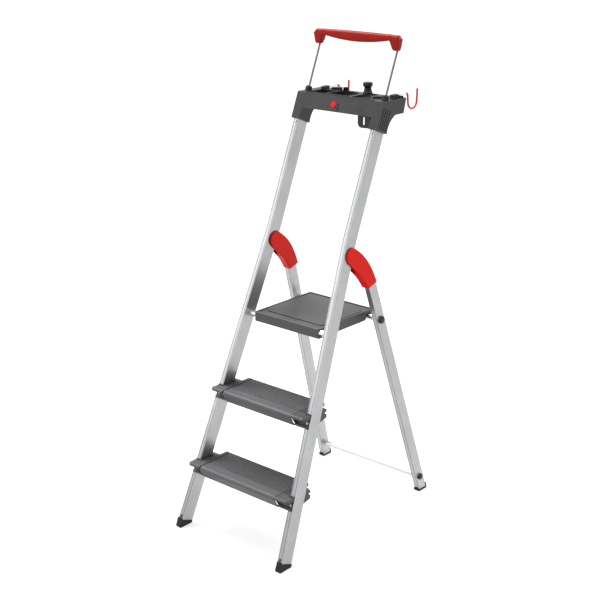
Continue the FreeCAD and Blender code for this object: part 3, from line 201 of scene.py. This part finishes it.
def powder_coat(name):
    material, shader = new_material(name, (0.062, 0.063, 0.066), 0.46)
    shader.inputs["Specular IOR Level"].default_value = 0.32
    fine = noise(material, place_texture(material), 1400.0, detail=2.0)
    relief(material, shader, fine, 0.25, 0.0003)
    wear = noise(material, place_texture(material, (0.4, 1.6, 1.6)), 26.0, detail=9.0, rough=0.72)
    tint(material, shader, wear, (0.050, 0.051, 0.053), (0.073, 0.074, 0.077))
    # painted shade: the base colour darkens between the ribs and in the corners
    paint_shade_in_recesses(material, shader, 0.006, 0.08)
    ranged = spread(material, wear, 0.38, 0.54)
    material.node_tree.links.new(ranged.outputs["Result"], shader.inputs["Roughness"])
    return material


tread_coat = powder_coat("tread_powder_coat")
for node in ("lower_tread", "upper_tread"):
    softened(node, tread_coat, 0.00035)

# ---------------------------------------------------------------- tread end caps and other black mouldings
# Black polypropylene brackets close the treads' ends and reach round the stiles. Like the bushes, clips,
# plugs and pegs they are injection moulded with a fine eroded grain and slightly rounded edges.


def moulded(name, dark, light, roughness, grain=0.3, sheen=0.32):
    """Injection-moulded plastic: a fine grain, soft gloss changes and a trace of dust in the tone."""
    material, shader = new_material(name, dark, roughness)
    shader.inputs["Specular IOR Level"].default_value = sheen
    fine = noise(material, place_texture(material), 2200.0, detail=3.0)
    relief(material, shader, fine, grain, 0.00025)
    broad = noise(material, place_texture(material), 18.0, detail=6.0, rough=0.65)
    tint(material, shader, broad, dark, light)
    # painted shade: the base colour darkens in ribs, wells and corners
    paint_shade_in_recesses(material, shader, 0.008, 0.15)
    ranged = spread(material, broad, roughness - 0.06, roughness + 0.07)
    material.node_tree.links.new(ranged.outputs["Result"], shader.inputs["Roughness"])
    return material


black_plastic = moulded("black_polypropylene", (0.006,) * 3, (0.010,) * 3, 0.38)
cap_plastic = moulded("dark_polypropylene", (0.040, 0.040, 0.042), (0.056, 0.056, 0.058), 0.44)
for tread in ("lower_tread", "upper_tread"):
    for side in ("left", "right"):
        softened("%s_cap_%s" % (tread, side), cap_plastic, 0.0006)
for node in ("foot_pegs", "upper_crossbar_caps", "lower_crossbar_caps", "hinge_washers",
             "rod_bush_left", "rod_bush_right"):
    softened(node, black_plastic, 0.0005)

# ---------------------------------------------------------------- rivets
# Dome-headed steel rivets, zinc plated, show in the eyes of the tread caps and below the tray's sockets.


def plated_steel(name, tone=0.42):
    material, shader = new_material(name, (tone, tone, tone), 0.25, metallic=1.0)
    mottle = noise(material, place_texture(material), 300.0, detail=5.0)
    relief(material, shader, mottle, 0.15, 0.0002)
    tint(material, shader, mottle, (0.86 * tone,) * 3, (1.14 * tone,) * 3)
    return material


zinc = plated_steel("zinc_plated_steel")
for node in ("tread_rivets", "tray_rivets", "hinge_pins"):
    softened(node, zinc, 0.0002)

# ---------------------------------------------------------------- feet
# The shoes are black thermoplastic rubber, moulded with grooved soles and pressed on to the cut ends
# of the stiles and the rear legs.
foot_rubber = moulded("foot_rubber", (0.006,) * 3, (0.012,) * 3, 0.58, grain=0.5, sheen=0.25)
for end in ("front", "rear"):
    for side in ("left", "right"):
        softened("%s_foot_%s" % (end, side), foot_rubber, 0.0006)

# ---------------------------------------------------------------- rear frame
# The rear legs are narrower aluminium box extrusions, joined by two round tubes through both legs.
REAR_LEAN = math.radians(17.2)
leg_metal = drawn_aluminium("rear_leg_aluminium", REAR_LEAN)
for side in ("left", "right"):
    softened("rear_leg_" + side, leg_metal, 0.0005)


def drawn_tube(name):
    material, shader = new_material(name, (0.60, 0.605, 0.61), 0.28, metallic=1.0)
    across = place_texture(material, (0.012, 1.0, 1.0))
    lines = noise(material, across, 900.0, detail=6.0)
    relief(material, shader, lines, 0.10, 0.0003)
    ranged = spread(material, lines, 0.22, 0.36)
    material.node_tree.links.new(ranged.outputs["Result"], shader.inputs["Roughness"])
    return material


tube_metal = drawn_tube("crossbar_aluminium")
for node in ("upper_crossbar", "lower_crossbar", "pivot_tube"):
    softened(node, tube_metal, 0.0003)

# ---------------------------------------------------------------- hinge caps
# Red glass-filled nylon caps hold the rear legs' tops and fork round the stiles on the hinge pins.
red_plastic = moulded("red_nylon", (0.50, 0.006, 0.002), (0.58, 0.009, 0.003), 0.40, grain=0.18, sheen=0.10)
for side in ("left", "right"):
    softened("hinge_cap_" + side, red_plastic, 0.0012)

# ---------------------------------------------------------------- platform
# The platform is a dark grey ribbed polypropylene moulding with a raised rim and a pattern of nested
# six-sided ribs. It clips over the pivot tube, and two saddles under its rear edge sit on the crossbar.
platform_plastic = moulded(
    "grey_polypropylene", (0.043, 0.043, 0.045), (0.060, 0.060, 0.062), 0.40, sheen=0.32)
softened("platform", platform_plastic, 0.0005)
softened("platform_hooks", platform_plastic, 0.0006)

# ---------------------------------------------------------------- tool tray
# One charcoal moulding, with wells, slots and a ring hole for tools, and a socket over each stile's end.
tray_plastic = moulded(
    "charcoal_polypropylene", (0.012, 0.012, 0.013), (0.020, 0.020, 0.021), 0.30, sheen=0.40)
softened("tool_tray", tray_plastic, 0.0010)
for node in ("tray_knob", "tray_holder", "tool_clips", "hook_sockets"):
    softened(node, black_plastic, 0.0006)
softened("tray_badge", red_plastic, 0.0004)

# ---------------------------------------------------------------- bucket hooks
# Bright steel wire hooks at the tray's rear corners, dipped in red vinyl over the part that a bucket's
# bail hangs on.
wire_steel = plated_steel("bright_wire")
red_vinyl = moulded("red_vinyl", (0.44, 0.010, 0.006), (0.52, 0.014, 0.008), 0.30, grain=0.1, sheen=0.25)
for side in ("left", "right"):
    softened("hook_wire_" + side, wire_steel, 0.0003)
    softened("hook_sleeve_" + side, red_vinyl, 0.0004)

# ---------------------------------------------------------------- carrying handle
# A darker red moulded grip on two ground steel rods that slide down inside the stiles.
rod_steel = plated_steel("ground_steel", 0.20)
grip_plastic = moulded(
    "grip_nylon", (0.215, 0.006, 0.002), (0.265, 0.009, 0.003), 0.42, grain=0.18, sheen=0.10)
for side in ("left", "right"):
    softened("handle_rod_" + side, rod_steel, 0.0003)
grip_low, grip_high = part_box("handle_grip")
GRIP_END = 0.1595                       # half the grip's length
GRIP_Y = (grip_low[1] + grip_high[1]) / 2
GRIP_TOP = grip_high[2]
SWELL_DROP, SWELL_REACH = 0.030, 0.118  # the belly's depth in the middle, and how far it reaches
BOSS_DROP = 0.0455                      # how far the ends reach down over the rods
RIB_PITCH, RIB_DEPTH = 0.0042, 0.045    # the ribs' spacing, and their depth as a share of the section
STATIONS, AROUND = 521, 56


def ramp(value, low, high):
    """0 below low, 1 above high, and a smooth change between."""
    t = min(1.0, max(0.0, (value - low) / (high - low)))
    return t * t * (3.0 - 2.0 * t)


def grip_section(x):
    """Top, underside and half depth of the grip at a distance from the middle."""
    away = abs(x)
    top = GRIP_TOP - 0.002 * (away / GRIP_END) ** 2 - 0.010 * ramp(away, 0.150, GRIP_END)
    swell = SWELL_DROP - 0.011 * (away / SWELL_REACH) ** 2
    boss = ramp(away, 0.121, 0.137)
    drop = swell * (1.0 - boss) + BOSS_DROP * boss - 0.030 * ramp(away, 0.1515, GRIP_END)
    deep = 0.0128 - 0.0010 * (away / 0.12) ** 2 - 0.0020 * ramp(away, 0.151, GRIP_END)
    return top, GRIP_TOP - max(drop, 0.012), deep


def grip_mesh(stations, around):
    """The grip's skin, ring by ring, with fine ribs across the underside where the fingers close."""
    points, faces = [], []
    soft = 2.0 / 3.4                    # the power that makes each ring a rounded rectangle
    for i in range(stations):
        x = GRIP_END * (2.0 * i / (stations - 1) - 1.0)
        top, low, deep = grip_section(x)
        middle, tall = (top + low) / 2.0, (top - low) / 2.0
        ribbed = ramp(x, -0.060, -0.050) * (1.0 - ramp(x, 0.112, 0.120))
        for k in range(around):
            turn = 2.0 * math.pi * k / around
            c, s = math.cos(turn), math.sin(turn)
            under = ramp(-s, 0.05, 0.45) * ribbed
            shrink = 1.0 - RIB_DEPTH * under * (0.5 + 0.5 * math.cos(2.0 * math.pi * x / RIB_PITCH))
            points.append((x, GRIP_Y + deep * shrink * math.copysign(abs(c) ** soft, c),
                           middle + tall * shrink * math.copysign(abs(s) ** soft, s)))
    for i in range(stations - 1):
        for k in range(around):
            here, beyond, after = i * around, (i + 1) * around, (k + 1) % around
            faces.append((here + k, beyond + k, beyond + after, here + after))
    faces.append(tuple(range(around)))
    faces.append(tuple(reversed(range((stations - 1) * around, stations * around))))
    return points, faces


grip_data = bpy.data.meshes.new("grip_skin")
grip_points, grip_faces = grip_mesh(STATIONS, AROUND)
grip_data.from_pydata(grip_points, [], grip_faces)
grip_data.materials.append(grip_plastic)
grip_data.shade_smooth()
grip_data.set_sharp_from_angle(angle=math.radians(50.0))
grip = bpy.data.objects.new("grip_skin", grip_data)
bpy.context.collection.objects.link(grip)
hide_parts("handle_grip")
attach(grip, "handle")

# ---------------------------------------------------------------- floor, light and camera
# A pale seamless floor under soft studio light, and the camera to the ladder's front right.
FLOOR_REACH = 40.0
floor_mesh = bpy.data.meshes.new("floor")
floor_corners = [(x * FLOOR_REACH, y * FLOOR_REACH, 0) for x, y in ((-1, -1), (1, -1), (1, 1), (-1, 1))]
floor_mesh.from_pydata(floor_corners, [], [(0, 1, 2, 3)])
floor = bpy.data.objects.new("floor", floor_mesh)
bpy.context.collection.objects.link(floor)
floor_paint, floor_shader = new_material("floor_paint", (0.42,) * 3, 0.8)
floor_shader.inputs["Emission Color"].default_value = (1.0, 1.0, 1.0, 1.0)
floor_shader.inputs["Emission Strength"].default_value = 0.50
floor_shader.inputs["Specular IOR Level"].default_value = 0.1
floor_grain = noise(floor_paint, place_texture(floor_paint), 60.0)
relief(floor_paint, floor_shader, floor_grain, 0.02, 0.001)
floor_mesh.materials.append(floor_paint)

# the sky is darkest at the horizon and brightest overhead
world = bpy.data.worlds.new("studio")
world.use_nodes = True
sky_nodes, sky_links = world.node_tree.nodes, world.node_tree.links
sky_place = sky_nodes.new("ShaderNodeTexCoord")
sky_split = sky_nodes.new("ShaderNodeSeparateXYZ")
sky_ramp = sky_nodes.new("ShaderNodeValToRGB")
sky_ramp.color_ramp.elements[0].position = 0.0
sky_ramp.color_ramp.elements[0].color = (0.10, 0.10, 0.10, 1.0)
sky_ramp.color_ramp.elements[1].position = 0.9
sky_ramp.color_ramp.elements[1].color = (1.0, 1.0, 1.0, 1.0)
sky_links.new(sky_place.outputs["Generated"], sky_split.inputs["Vector"])
sky_links.new(sky_split.outputs["Z"], sky_ramp.inputs["Fac"])
sky_links.new(sky_ramp.outputs["Color"], sky_nodes["Background"].inputs["Color"])
sky_nodes["Background"].inputs["Strength"].default_value = 2.0
bpy.context.scene.world = world


def softbox(name, place, aim, size, power):
    """A square soft light that faces a point."""
    data = bpy.data.lights.new(name, "AREA")
    data.size = size
    data.energy = power
    lamp = bpy.data.objects.new(name, data)
    bpy.context.collection.objects.link(lamp)
    lamp.location = place
    lamp.rotation_euler = (Vector(aim) - Vector(place)).to_track_quat("-Z", "Y").to_euler()


softbox("key_light", (-1.9, 0.1, 3.8), (0, 0, 0.7), 1.6, 150.0)
softbox("side_panel", (-2.5, -2.9, 1.9), (0, 0, 0.8), 1.8, 24.0)
softbox("rim_light", (0.9, 3.0, 2.8), (0, 0, 0.8), 1.4, 30.0)

CAMERA_PLACE = (2.2957, -2.6597, 1.8409)
CAMERA_PITCH, CAMERA_ROLL, CAMERA_TURN = 18.26, 0.08, 41.05  # degrees
camera_data = bpy.data.cameras.new("camera")
camera_data.sensor_width = 36.0
camera_data.lens = 74.75
camera = bpy.data.objects.new("camera", camera_data)
bpy.context.collection.objects.link(camera)
camera.location = CAMERA_PLACE
camera.rotation_euler = [math.radians(angle) for angle in (90.0 - CAMERA_PITCH, CAMERA_ROLL, CAMERA_TURN)]
bpy.context.scene.camera = camera
bpy.context.scene.view_settings.view_transform = "Standard"
